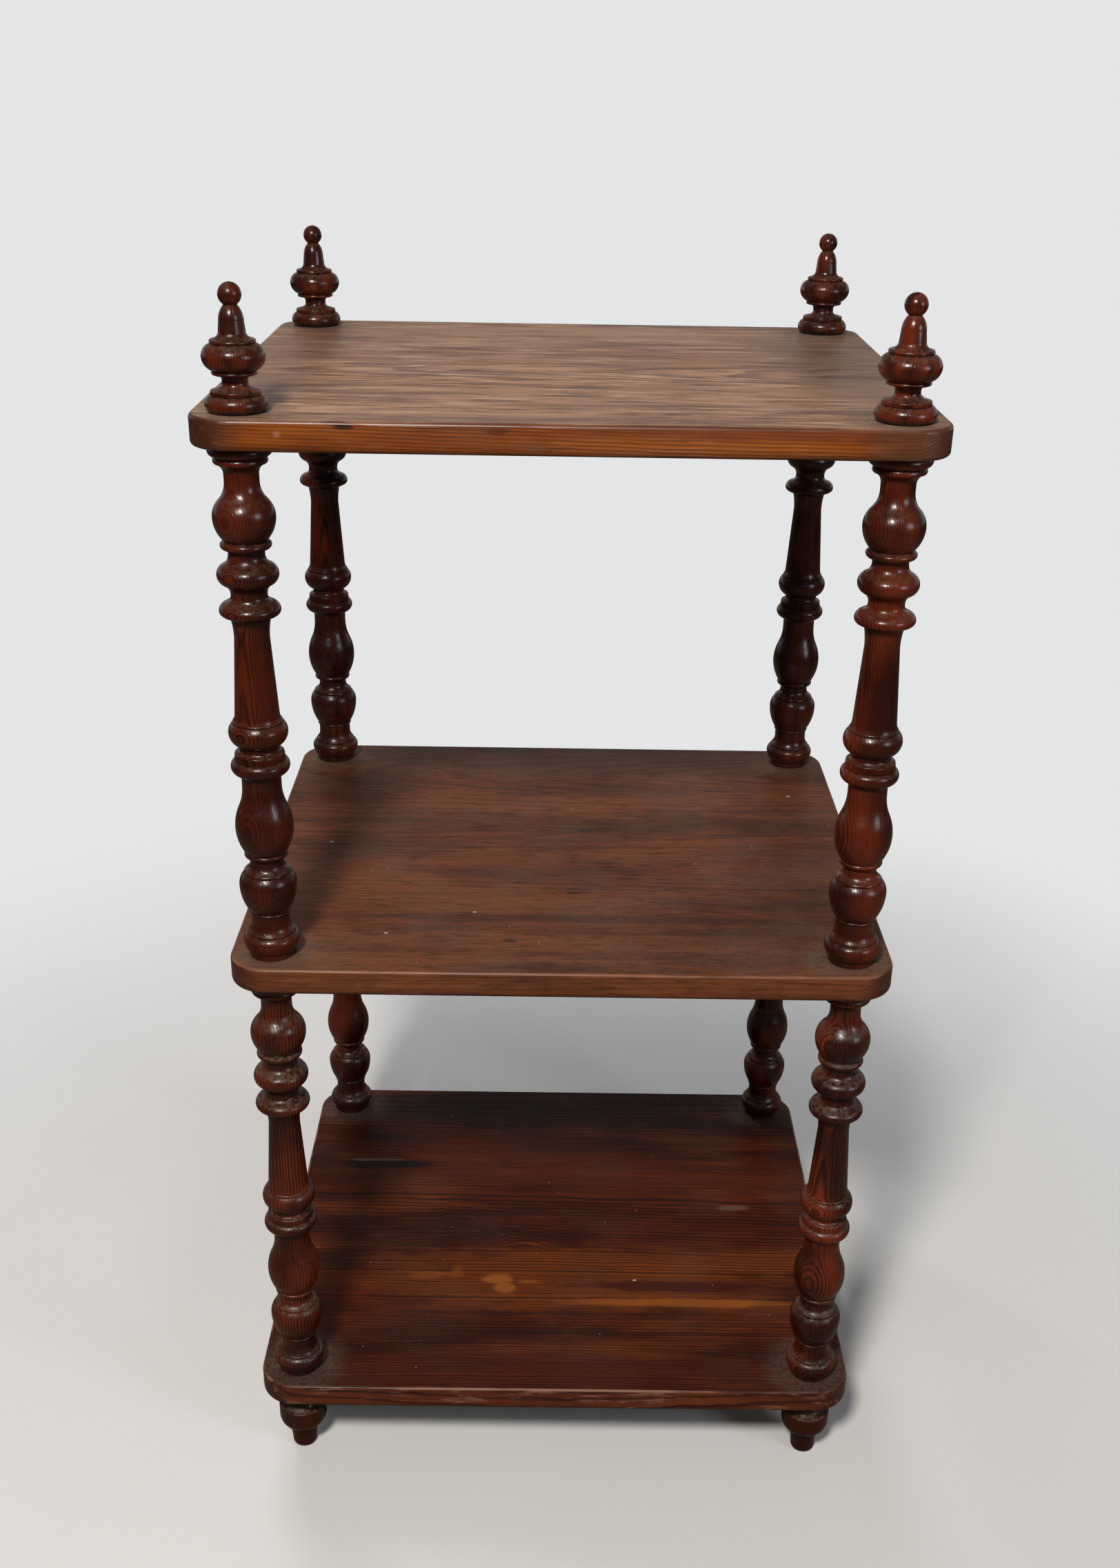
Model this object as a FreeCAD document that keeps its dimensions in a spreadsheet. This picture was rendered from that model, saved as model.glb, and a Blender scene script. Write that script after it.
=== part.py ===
# Three-tier etagere (a Victorian whatnot) in stained pitch pine.
#
# Frame: millimetres, +Z up, X across the width, +Y to the back. The origin is on the floor, in the
# middle between the four feet.
#
# The object stacks up in four corner columns: foot, bottom shelf, lower post, middle shelf, upper
# post, top shelf, finial. Every foot and post ends in a turned round pin, which goes through the
# bored shelf above it and is glued into the socket of the turned piece that stands on that shelf.
# Each shelf is glued up from a front and a back board.
import FreeCAD, Part
import os
import math
import Sketcher

os.makedirs("parts", exist_ok=True)
doc = FreeCAD.newDocument("Etagere")

# ---------------------------------------------------------------- driving sizes
# Heights of turned elements run along the axis of the piece, one above the other.

FRAME_SIZES = {
    "post_spacing_x": 440.0,       # column axis to column axis, across the width
    "post_spacing_y": 392.0,       # column axis to column axis, front to back
    "overhang_x": 32.0,            # shelf beyond the column axes at the sides
    "overhang_y": 30.0,            # shelf beyond the column axes at the front and back
    "shelf_thickness": 21.0,
    "shelf_corner_radius": 30.0,
    "shelf_arris_radius": 3.0,
    "seam_bottom": 45.0,           # place of each shelf's glue line, behind the middle
    "seam_middle": 95.0,
    "seam_top": 85.0,
    "post_length": 384.0,          # shelf to shelf
    "pin_radius": 7.0,
    "pin_clearance": 0.2,          # glue gap round a pin
    "pin_reach": 28.0,             # how far a pin goes into the post above its shelf
    "pin_reach_finial": 12.5,      # the same in a finial, which is only that thick
    "pin_end_gap": 1.5,            # left free in the socket above the pin
    "pin_bevel": 1.2,
}

FOOT_SIZES = {
    "toe_radius": 7.0,             # flat that stands on the floor
    "toe_round_height": 3.4,
    "peg_low_radius": 10.3,
    "peg_height": 18.6,
    "peg_top_radius": 11.4,
    "bowl_height": 12.0,
    "bowl_radius": 20.3,
    "bowl_wall_height": 11.0,
    "bowl_rim_height": 1.2,
    "bowl_rim_radius": 19.2,
    "bowl_lip_height": 0.3,
    "bowl_lip_radius": 17.3,
    "foot_cove_height": 7.5,
    "foot_neck_radius": 12.6,
    "foot_neck_height": 2.5,
    "foot_flare_height": 5.0,
    "foot_flare_radius": 16.6,
    "foot_ring_step_height": 0.5,
    "foot_ring_low_radius": 17.4,
    "foot_ring_low_height": 2.4,
    "foot_ring_radius": 18.2,
    "foot_ring_top_height": 2.1,
    "foot_ring_top_radius": 17.4,
}

POST_SIZES = {
    # from the shelf up to the foot of the tapered column
    "base_radius": 17.3,
    "base_height": 4.2,
    "torus_low_height": 8.6,
    "torus_radius": 21.3,
    "torus_top_height": 5.6,
    "torus_top_radius": 18.4,
    "torus_quirk_height": 0.4,
    "torus_quirk_radius": 17.1,
    "torus_lip_height": 0.7,
    "torus_lip_radius": 17.8,
    "torus_lip_top_height": 1.3,
    "torus_lip_top_radius": 16.9,
    "stem_flare_height": 7.0,
    "stem_radius": 14.4,
    "stem_height": 7.2,
    "ridge_low_height": 1.2,
    "ridge_radius": 15.6,
    "ridge_top_height": 1.2,
    "ridge_top_radius": 14.7,
    "urn_foot_height": 0.8,
    "urn_foot_radius": 15.8,
    "urn_low_height": 20.5,
    "urn_radius": 21.4,
    "urn_top_height": 9.2,
    "urn_top_radius": 17.8,
    "urn_quirk_height": 0.4,
    "urn_quirk_radius": 16.7,
    "urn_lip_height": 0.5,
    "urn_lip_radius": 17.5,
    "urn_lip_top_height": 1.3,
    "urn_lip_top_radius": 16.9,
    "urn_collar_height": 6.9,
    "waist_radius": 12.4,
    "waist_height": 1.2,
    "cord_flare_height": 3.4,
    "cord_flare_radius": 15.2,
    "cord_low_height": 1.8,
    "cord_radius": 16.1,
    "cord_top_height": 1.8,
    "cord_top_radius": 15.0,
    "vase_foot_height": 0.5,
    "vase_foot_radius": 15.7,
    "vase_low_height": 19.6,
    "vase_radius": 21.3,
    "vase_ogee_height": 31.8,
    "vase_neck_radius": 14.3,
    "vase_neck_height": 7.2,
    "ring_cove_height": 3.2,
    "ring_cove_radius": 16.6,
    "ring_low_height": 6.0,
    "ring_radius": 21.3,
    "ring_top_height": 4.6,
    "ring_top_radius": 18.9,
    "ring_quirk_height": 0.4,
    "ring_quirk_radius": 17.6,
    "ring_lip_height": 0.6,
    "ring_lip_radius": 18.3,
    "ring_wall_height": 4.0,
    "ring_wall_radius": 17.9,
    "ring_edge_height": 1.0,
    "ring_edge_radius": 17.0,
    "ring_slope_height": 2.9,
    "link_radius": 14.1,
    "link_height": 1.4,
    "collar_foot_height": 1.1,
    "collar_foot_radius": 15.1,
    "collar_low_height": 10.1,
    "collar_radius": 21.3,
    "collar_top_height": 6.9,
    "collar_top_radius": 18.5,
    "collar_quirk_height": 0.4,
    "collar_quirk_radius": 17.2,
    "collar_bead_low_height": 0.7,
    "collar_bead_radius": 17.9,
    "collar_bead_top_height": 1.2,
    "collar_bead_top_radius": 17.0,
    "column_flare_height": 5.0,
    "column_low_radius": 15.9,
    # from the top of the tapered column up to the next shelf
    "column_top_radius": 12.4,
    "column_head_height": 13.8,
    "column_head_radius": 13.9,
    "disc_under_height": 2.3,
    "disc_under_radius": 18.0,
    "disc_low_height": 3.7,
    "disc_radius": 21.4,
    "disc_ogee_height": 10.7,
    "upper_link_radius": 12.7,
    "upper_link_height": 0.8,
    "ball_low_height": 13.9,
    "ball_radius": 21.4,
    "ball_top_height": 13.7,
    "upper_waist_radius": 12.6,
    "upper_waist_height": 2.8,
    "hoop_flare_height": 1.4,
    "hoop_flare_radius": 14.6,
    "hoop_low_height": 2.9,
    "hoop_radius": 17.7,
    "hoop_edge_height": 1.4,
    "hoop_edge_radius": 17.2,
    "hoop_top_height": 1.6,
    "hoop_top_radius": 14.8,
    "bulb_foot_height": 0.4,
    "bulb_foot_radius": 15.4,
    "bulb_low_height": 15.6,
    "bulb_radius": 21.5,
    "bulb_ogee_height": 23.5,
    "throat_radius": 11.9,
    "throat_height": 5.5,
    "capital_cove_height": 6.9,
    "capital_cove_radius": 16.3,
    "capital_step_height": 0.6,
    "capital_step_radius": 17.8,
    "capital_band_height": 1.8,
    "capital_band_radius": 18.5,
    "capital_band_top_height": 1.9,
    "capital_band_top_radius": 17.9,
    "capital_quirk_height": 0.5,
    "capital_quirk_radius": 17.3,
    "capital_ring_foot_height": 0.6,
    "capital_ring_foot_radius": 19.0,
    "capital_ring_low_height": 3.7,
    "capital_ring_radius": 21.7,
    "capital_ring_top_height": 4.2,
    "capital_ring_top_radius": 19.6,
}

FINIAL_SIZES = {
    "plinth_radius": 17.8,
    "plinth_low_height": 5.0,
    "plinth_ring_radius": 20.8,
    "plinth_top_height": 5.4,
    "plinth_top_radius": 17.8,
    "plinth_quirk_height": 0.4,
    "plinth_quirk_radius": 15.9,
    "ledge_foot_height": 0.4,
    "ledge_radius": 16.7,
    "ledge_height": 1.9,
    "ledge_edge_height": 0.7,
    "ledge_edge_radius": 16.1,
    "ledge_slope_height": 1.2,
    "ledge_slope_radius": 12.0,
    "dip_height": 3.6,
    "dip_radius": 8.6,
    "dip_neck_height": 1.4,
    "cup_flare_height": 3.3,
    "cup_flare_radius": 11.6,
    "cup_under_height": 0.4,
    "cup_ring_foot_radius": 14.3,
    "cup_ring_low_height": 1.2,
    "cup_ring_radius": 15.1,
    "cup_ring_top_height": 1.2,
    "cup_ring_top_radius": 14.3,
    "belly_foot_height": 0.3,
    "belly_foot_radius": 15.0,
    "belly_low_height": 9.0,
    "belly_radius": 20.9,
    "belly_top_height": 7.6,
    "belly_top_radius": 15.7,
    "bell_quirk_height": 0.4,
    "bell_quirk_radius": 14.5,
    "bell_ring_low_height": 1.3,
    "bell_ring_radius": 15.2,
    "bell_ring_top_height": 1.3,
    "bell_ring_top_radius": 14.3,
    "bell_lip_height": 0.1,
    "bell_lip_radius": 13.6,
    "bell_flare_height": 5.1,
    "bell_radius": 8.9,
    "bell_height": 6.6,
    "bell_shoulder_radius": 8.2,
    "bell_shoulder_height": 9.2,
    "knob_neck_radius": 4.6,
    "knob_neck_height": 0.5,
    "knob_radius": 7.7,
}

SIZES = {**FRAME_SIZES, **FOOT_SIZES, **POST_SIZES, **FINIAL_SIZES}

sheet = doc.addObject("Spreadsheet::Sheet", "Sizes")
for row, (alias, value) in enumerate(SIZES.items(), start=1):
    sheet.set(f"A{row}", alias)
    sheet.set(f"B{row}", str(value))
    sheet.setAlias(f"B{row}", alias)
doc.recompute()


def amount(formula):
    """The present value of a formula, in millimetres."""
    return float(sheet.evalExpression(formula))


def total(aliases):
    return "(" + " + ".join(f"Sizes.{alias}" for alias in aliases) + ")"


# ---------------------------------------------------------------- turned outlines
# A turned piece is a stack of stretches, each a list of steps from the bottom up. A step is
# (curve, height, radius): it climbs by one named height and ends at one named radius. The curves are
#   line   straight
#   swell  an arc that ends upright, at a widest or narrowest place
#   leave  an arc that starts upright there
#   ogee   two equal arcs, upright at both ends
# REST in place of a height is what the other steps leave of the length of a post.
REST = "rest"

FOOT_STRETCHES = {
    "peg": [
        ("swell", "toe_round_height", "peg_low_radius"),
        ("line", "peg_height", "peg_top_radius"),
        ("swell", "bowl_height", "bowl_radius"),
        ("line", "bowl_wall_height", "bowl_radius"),
        ("leave", "bowl_rim_height", "bowl_rim_radius"),
        ("line", "bowl_lip_height", "bowl_lip_radius"),
        ("swell", "foot_cove_height", "foot_neck_radius"),
        ("line", "foot_neck_height", "foot_neck_radius"),
        ("leave", "foot_flare_height", "foot_flare_radius"),
        ("line", "foot_ring_step_height", "foot_ring_low_radius"),
        ("swell", "foot_ring_low_height", "foot_ring_radius"),
        ("leave", "foot_ring_top_height", "foot_ring_top_radius"),
    ],
}

POST_STRETCHES = {
    "stem": [
        ("line", "base_height", "base_radius"),
        ("swell", "torus_low_height", "torus_radius"),
        ("leave", "torus_top_height", "torus_top_radius"),
        ("line", "torus_quirk_height", "torus_quirk_radius"),
        ("line", "torus_lip_height", "torus_lip_radius"),
        ("leave", "torus_lip_top_height", "torus_lip_top_radius"),
        ("swell", "stem_flare_height", "stem_radius"),
        ("line", "stem_height", "stem_radius"),
        ("swell", "ridge_low_height", "ridge_radius"),
        ("leave", "ridge_top_height", "ridge_top_radius"),
    ],
    "urn": [
        ("line", "urn_foot_height", "urn_foot_radius"),
        ("swell", "urn_low_height", "urn_radius"),
        ("leave", "urn_top_height", "urn_top_radius"),
        ("line", "urn_quirk_height", "urn_quirk_radius"),
        ("line", "urn_lip_height", "urn_lip_radius"),
        ("leave", "urn_lip_top_height", "urn_lip_top_radius"),
        ("swell", "urn_collar_height", "waist_radius"),
        ("line", "waist_height", "waist_radius"),
        ("leave", "cord_flare_height", "cord_flare_radius"),
        ("swell", "cord_low_height", "cord_radius"),
        ("leave", "cord_top_height", "cord_top_radius"),
    ],
    "vase": [
        ("line", "vase_foot_height", "vase_foot_radius"),
        ("swell", "vase_low_height", "vase_radius"),
        ("ogee", "vase_ogee_height", "vase_neck_radius"),
        ("line", "vase_neck_height", "vase_neck_radius"),
        ("leave", "ring_cove_height", "ring_cove_radius"),
        ("swell", "ring_low_height", "ring_radius"),
        ("leave", "ring_top_height", "ring_top_radius"),
        ("line", "ring_quirk_height", "ring_quirk_radius"),
    ],
    "collar": [
        ("line", "ring_lip_height", "ring_lip_radius"),
        ("line", "ring_wall_height", "ring_wall_radius"),
        ("leave", "ring_edge_height", "ring_edge_radius"),
        ("swell", "ring_slope_height", "link_radius"),
        ("line", "link_height", "link_radius"),
        ("leave", "collar_foot_height", "collar_foot_radius"),
        ("swell", "collar_low_height", "collar_radius"),
        ("leave", "collar_top_height", "collar_top_radius"),
        ("line", "collar_quirk_height", "collar_quirk_radius"),
    ],
    "column": [
        ("swell", "collar_bead_low_height", "collar_bead_radius"),
        ("leave", "collar_bead_top_height", "collar_bead_top_radius"),
        ("swell", "column_flare_height", "column_low_radius"),
        ("line", REST, "column_top_radius"),
        ("leave", "column_head_height", "column_head_radius"),
    ],
    "ball": [
        ("line", "disc_under_height", "disc_under_radius"),
        ("swell", "disc_low_height", "disc_radius"),
        ("ogee", "disc_ogee_height", "upper_link_radius"),
        ("line", "upper_link_height", "upper_link_radius"),
        ("ogee", "ball_low_height", "ball_radius"),
        ("ogee", "ball_top_height", "upper_waist_radius"),
        ("line", "upper_waist_height", "upper_waist_radius"),
        ("leave", "hoop_flare_height", "hoop_flare_radius"),
        ("swell", "hoop_low_height", "hoop_radius"),
        ("leave", "hoop_edge_height", "hoop_edge_radius"),
        ("line", "hoop_top_height", "hoop_top_radius"),
    ],
    "bulb": [
        ("line", "bulb_foot_height", "bulb_foot_radius"),
        ("swell", "bulb_low_height", "bulb_radius"),
        ("ogee", "bulb_ogee_height", "throat_radius"),
        ("line", "throat_height", "throat_radius"),
        ("leave", "capital_cove_height", "capital_cove_radius"),
    ],
    "capital": [
        ("line", "capital_step_height", "capital_step_radius"),
        ("swell", "capital_band_height", "capital_band_radius"),
        ("leave", "capital_band_top_height", "capital_band_top_radius"),
        ("line", "capital_quirk_height", "capital_quirk_radius"),
        ("line", "capital_ring_foot_height", "capital_ring_foot_radius"),
        ("swell", "capital_ring_low_height", "capital_ring_radius"),
        ("leave", "capital_ring_top_height", "capital_ring_top_radius"),
    ],
}

FINIAL_STRETCHES = {
    "plinth": [
        ("swell", "plinth_low_height", "plinth_ring_radius"),
        ("leave", "plinth_top_height", "plinth_top_radius"),
        ("line", "plinth_quirk_height", "plinth_quirk_radius"),
        ("line", "ledge_foot_height", "ledge_radius"),
        ("line", "ledge_height", "ledge_radius"),
        ("leave", "ledge_edge_height", "ledge_edge_radius"),
        ("line", "ledge_slope_height", "ledge_slope_radius"),
        ("swell", "dip_height", "dip_radius"),
        ("line", "dip_neck_height", "dip_radius"),
        ("leave", "cup_flare_height", "cup_flare_radius"),
    ],
    "belly": [
        ("line", "cup_under_height", "cup_ring_foot_radius"),
        ("swell", "cup_ring_low_height", "cup_ring_radius"),
        ("leave", "cup_ring_top_height", "cup_ring_top_radius"),
        ("line", "belly_foot_height", "belly_foot_radius"),
        ("swell", "belly_low_height", "belly_radius"),
        ("leave", "belly_top_height", "belly_top_radius"),
        ("line", "bell_quirk_height", "bell_quirk_radius"),
    ],
    "bell": [
        ("swell", "bell_ring_low_height", "bell_ring_radius"),
        ("leave", "bell_ring_top_height", "bell_ring_top_radius"),
        ("line", "bell_lip_height", "bell_lip_radius"),
        ("swell", "bell_flare_height", "bell_radius"),
        ("line", "bell_height", "bell_shoulder_radius"),
        ("leave", "bell_shoulder_height", "knob_neck_radius"),
        ("line", "knob_neck_height", "knob_neck_radius"),
    ],
}

POST_HEIGHTS = [height for steps in POST_STRETCHES.values() for _, height, _ in steps]
COLUMN_HEIGHT = f"(Sizes.post_length - {total(name for name in POST_HEIGHTS if name != REST)})"


def height_formula(step):
    return COLUMN_HEIGHT if step[1] == REST else f"Sizes.{step[1]}"


class Outline:
    """Draws the half section of one stretch in a sketch, from its flat foot up, bound to the sheet.

    Sketch X is the radius and sketch Y the height. The top of each step gets its radius from one
    cell, and its height from the step below and another cell."""

    def __init__(self, sketch, foot_radius):
        self.sketch = sketch
        self.shapes = []
        self.rules = []
        self.formulas = {}
        self.place = (amount(foot_radius), 0.0)
        self.last = self.line((0.0, 0.0), self.place)
        self.rule("Coincident", self.last[0], 1, -1, 1)
        self.rule("Horizontal", self.last[0])
        self.bind("DistanceX", -1, 1, self.last[0], 2, foot_radius)

    def rule(self, *args):
        self.rules.append(Sketcher.Constraint(*args))

    def bind(self, *args):
        """A dimension: a constraint whose value is the formula that comes last."""
        formula = args[-1]
        constraint = Sketcher.Constraint(*args[:-1], amount(formula))
        constraint.Name = f"dimension{len(self.formulas)}"
        self.formulas[constraint.Name] = formula
        self.rules.append(constraint)

    # Each curve gives back its number in the sketch and which of its ends are the low and high one.

    def line(self, start, end):
        self.shapes.append(Part.LineSegment(FreeCAD.Vector(*start, 0), FreeCAD.Vector(*end, 0)))
        return len(self.shapes) - 1, 1, 2

    def arc(self, start, end, centre, hollow=False):
        angles = [math.atan2(p[1] - centre[1], p[0] - centre[0]) for p in (start, end)]
        if hollow:
            angles = [angle % (2 * math.pi) for angle in reversed(angles)]
        normal = FreeCAD.Vector(0, 0, 1)
        circle = Part.Circle(FreeCAD.Vector(*centre, 0), normal, math.dist(start, centre))
        self.shapes.append(Part.ArcOfCircle(circle, *angles))
        low, high = (2, 1) if hollow else (1, 2)
        return len(self.shapes) - 1, low, high

    def quarter(self, start, end, upright_at_end):
        """An arc that stands upright at one end, because its centre is level with that end."""
        upright, other = (end, start) if upright_at_end else (start, end)
        rise = upright[1] - other[1]
        swing = upright[0] - other[0]
        radius = (rise ** 2 + swing ** 2) / (2 * abs(swing))
        centre = (upright[0] - math.copysign(radius, swing), upright[1])
        drawn = self.arc(start, end, centre, hollow=swing < 0)
        self.rule("Horizontal", drawn[0], 3, drawn[0], drawn[2] if upright_at_end else drawn[1])
        return drawn

    def ogee(self, start, end):
        middle = ((start[0] + end[0]) / 2, (start[1] + end[1]) / 2)
        lower = self.quarter(start, middle, upright_at_end=False)
        upper = self.quarter(middle, end, upright_at_end=True)
        self.rule("Tangent", lower[0], lower[2], upper[0], upper[1])
        self.rule("Equal", lower[0], upper[0])
        return lower, upper

    def climb(self, step):
        kind, _, radius = step
        goal = (amount(f"Sizes.{radius}"), self.place[1] + amount(height_formula(step)))
        if kind == "line":
            lower = upper = self.line(self.place, goal)
        elif kind == "ogee":
            lower, upper = self.ogee(self.place, goal)
        else:
            lower = upper = self.quarter(self.place, goal, upright_at_end=kind == "swell")
        self.rule("Coincident", self.last[0], self.last[2], lower[0], lower[1])
        self.bind("DistanceX", -1, 1, upper[0], upper[2], f"Sizes.{radius}")
        self.bind("DistanceY", lower[0], lower[1], upper[0], upper[2], height_formula(step))
        self.place = goal
        self.last = upper

    def add(self, drawn, place):
        self.rule("Coincident", self.last[0], self.last[2], drawn[0], drawn[1])
        self.last = drawn
        self.place = place
        return drawn[0]

    def flat(self, x):
        """A level line in to radius x."""
        place = (x, self.place[1])
        self.rule("Horizontal", self.add(self.line(self.place, place), place))

    def pin(self, reach):
        """The flat shoulder under the shelf, and the pin above it with a bevelled end."""
        radius = amount("Sizes.pin_radius")
        bevel = amount("Sizes.pin_bevel")
        side_height = f"Sizes.shelf_thickness + Sizes.{reach} - Sizes.pin_bevel"
        self.flat(radius)
        place = (radius, self.place[1] + amount(side_height))
        side = self.add(self.line(self.place, place), place)
        self.rule("Vertical", side)
        self.bind("DistanceX", -1, 1, side, 2, "Sizes.pin_radius")
        self.bind("DistanceY", side, 1, side, 2, side_height)
        place = (radius - bevel, self.place[1] + bevel)
        slope = self.add(self.line(self.place, place), place)
        self.bind("DistanceX", slope, 2, slope, 1, "Sizes.pin_bevel")
        self.bind("DistanceY", slope, 1, slope, 2, "Sizes.pin_bevel")
        self.flat(0.0)

    def knob(self):
        """The ball on a finial, from its neck over to the axis."""
        radius = amount("Sizes.knob_radius")
        centre = (0.0, self.place[1] + math.sqrt(radius ** 2 - self.place[0] ** 2))
        place = (0.0, centre[1] + radius)
        ball = self.add(self.arc(self.place, place, centre), place)
        self.rule("PointOnObject", ball, 3, -2)
        self.bind("Radius", ball, "Sizes.knob_radius")

    def close(self):
        """The way back down the axis. Then all of it goes into the sketch."""
        axis = self.add(self.line(self.place, (0.0, 0.0)), (0.0, 0.0))
        self.rule("PointOnObject", axis, 1, -2)
        self.rule("Coincident", axis, 2, -1, 1)
        self.sketch.addGeometry(self.shapes, False)
        self.sketch.addConstraint(self.rules)
        for name, formula in self.formulas.items():
            self.sketch.setExpression(f"Constraints.{name}", formula)


# ---------------------------------------------------------------- bodies
HALF_WIDTH = "(Sizes.post_spacing_x / 2 + Sizes.overhang_x)"
HALF_DEPTH = "(Sizes.post_spacing_y / 2 + Sizes.overhang_y)"
BORE_RADIUS = "(Sizes.pin_radius + Sizes.pin_clearance)"


def plane(body, role):
    return next(item for item in body.Origin.OriginFeatures if item.Role == role)


def new_body(label):
    body = doc.addObject("PartDesign::Body", label)
    body.Label = label
    return body


def new_sketch(body, name, role):
    sketch = body.newObject("Sketcher::SketchObject", f"{body.Name}_{name}")
    sketch.AttachmentSupport = (plane(body, role), "")
    sketch.MapMode = "FlatFace"
    return sketch


def place_body(body, across, back, up):
    body.setExpression("Placement.Base.x", across)
    body.setExpression("Placement.Base.y", back)
    body.setExpression("Placement.Base.z", up)


def dimension(sketch, name, rule, formula):
    """Adds one constraint whose value is a formula."""
    constraint = Sketcher.Constraint(*rule, amount(formula))
    constraint.Name = name
    sketch.addConstraint(constraint)
    sketch.setExpression(f"Constraints.{name}", formula)


def circle(x, y, formula):
    centre = FreeCAD.Vector(x, y, 0)
    return Part.Circle(centre, FreeCAD.Vector(0, 0, 1), amount(formula))


def bore_socket(body, reach):
    """A blind hole in the foot of a turned piece, for the pin of the piece below."""
    sketch = new_sketch(body, "socket_circle", "XY_Plane")
    sketch.addGeometry(circle(0, 0, BORE_RADIUS), False)
    sketch.addConstraint(Sketcher.Constraint("Coincident", 0, 3, -1, 1))
    dimension(sketch, "bore", ("Radius", 0), BORE_RADIUS)
    socket = body.newObject("PartDesign::Pocket", f"{body.Name}_socket")
    socket.Profile = sketch
    socket.Reversed = True
    socket.setExpression("Length", f"Sizes.{reach} + Sizes.pin_end_gap")


def turn(body, stretches, foot_radius, pin_reach=None):
    """Revolves the stretches one on another. The last ends in a pin, or else in a knob."""
    below = []
    for name, steps in stretches.items():
        sketch = new_sketch(body, f"{name}_outline", "XZ_Plane")
        if below:
            sketch.setExpression("AttachmentOffset.Base.y", " + ".join(below))
        outline = Outline(sketch, foot_radius)
        for step in steps:
            outline.climb(step)
        if name != list(stretches)[-1]:
            outline.flat(0.0)
        elif pin_reach:
            outline.pin(pin_reach)
        else:
            outline.knob()
        outline.close()
        turned = body.newObject("PartDesign::Revolution", f"{body.Name}_{name}")
        turned.Profile = sketch
        turned.ReferenceAxis = (sketch, ["V_Axis"])
        turned.Angle = 360.0
        below += [height_formula(step) for step in steps]
        foot_radius = f"Sizes.{steps[-1][2]}"


def make_foot(label):
    body = new_body(label)
    turn(body, FOOT_STRETCHES, "Sizes.toe_radius", "pin_reach")
    return body


def make_post(label, pin_reach):
    body = new_body(label)
    turn(body, POST_STRETCHES, "Sizes.base_radius", pin_reach)
    bore_socket(body, "pin_reach")
    return body


def make_finial(label):
    body = new_body(label)
    turn(body, FINIAL_STRETCHES, "Sizes.plinth_radius")
    bore_socket(body, "pin_reach_finial")
    return body


def draw_plan(sketch, side, seam):
    """A board's plan: a glue line along X, two ends, and a long edge between two round corners.
    side is 1 for the back board and -1 for the front one."""
    half_width = amount(HALF_WIDTH)
    corner = amount("Sizes.shelf_corner_radius")
    seam_y = amount(f"Sizes.{seam}")
    edge_y = side * amount(HALF_DEPTH)
    turn_y = edge_y - side * corner
    turn_x = half_width - corner

    def line(x1, y1, x2, y2):
        return Part.LineSegment(FreeCAD.Vector(x1, y1, 0), FreeCAD.Vector(x2, y2, 0))

    def round_corner(x_sign):
        middle = math.atan2(side, x_sign)
        whole = circle(x_sign * turn_x, turn_y, "Sizes.shelf_corner_radius")
        return Part.ArcOfCircle(whole, middle - math.pi / 4, middle + math.pi / 4)

    sketch.addGeometry([
        line(-half_width, seam_y, half_width, seam_y),
        line(half_width, seam_y, half_width, turn_y),
        round_corner(1),
        line(turn_x, edge_y, -turn_x, edge_y),
        round_corner(-1),
        line(-half_width, turn_y, -half_width, seam_y),
    ], False)
    near, far = (1, 2) if side > 0 else (2, 1)
    rules = [
        ("Coincident", 0, 2, 1, 1),
        ("Tangent", 1, 2, 2, near),
        ("Tangent", 2, far, 3, 1),
        ("Tangent", 3, 2, 4, near),
        ("Tangent", 4, far, 5, 1),
        ("Coincident", 5, 2, 0, 1),
        ("Symmetric", 0, 1, 0, 2, -2),
        ("Vertical", 1),
        ("Horizontal", 3),
        ("Vertical", 5),
        ("Equal", 2, 4),
    ]
    sketch.addConstraint([Sketcher.Constraint(*rule) for rule in rules])
    edge = ("DistanceY", -1, 1, 3, 1) if side > 0 else ("DistanceY", 3, 1, -1, 1)
    dimension(sketch, "half_width", ("DistanceX", -1, 1, 0, 2), HALF_WIDTH)
    dimension(sketch, "half_depth", edge, HALF_DEPTH)
    dimension(sketch, "glue_line", ("DistanceY", -1, 1, 0, 2), f"Sizes.{seam}")
    dimension(sketch, "corner", ("Radius", 2), "Sizes.shelf_corner_radius")


def draw_holes(sketch, side):
    """The two holes of a board, on the column axes."""
    half_x = "Sizes.post_spacing_x / 2"
    half_y = "Sizes.post_spacing_y / 2"
    for index, x_sign in enumerate((-1, 1)):
        centre = (x_sign * amount(half_x), side * amount(half_y))
        sketch.addGeometry(circle(*centre, BORE_RADIUS), False)
        across = ("DistanceX", -1, 1, index, 3) if x_sign > 0 else ("DistanceX", index, 3, -1, 1)
        back = ("DistanceY", -1, 1, index, 3) if side > 0 else ("DistanceY", index, 3, -1, 1)
        dimension(sketch, f"across{index}", across, half_x)
        dimension(sketch, f"back{index}", back, half_y)
        dimension(sketch, f"bore{index}", ("Radius", index), BORE_RADIUS)


def outer_arrises(shape, seam):
    """Names of the edges along the top and bottom faces, without the glue line."""
    seam_y = amount(f"Sizes.{seam}")
    tiny = 1e-6
    names = []
    for number, edge in enumerate(shape.Edges, start=1):
        box = edge.BoundBox
        level = box.ZLength < tiny
        on_seam = box.YLength < tiny and abs(box.YMin - seam_y) < tiny
        if level and not on_seam:
            names.append(f"Edge{number}")
    return names


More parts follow.
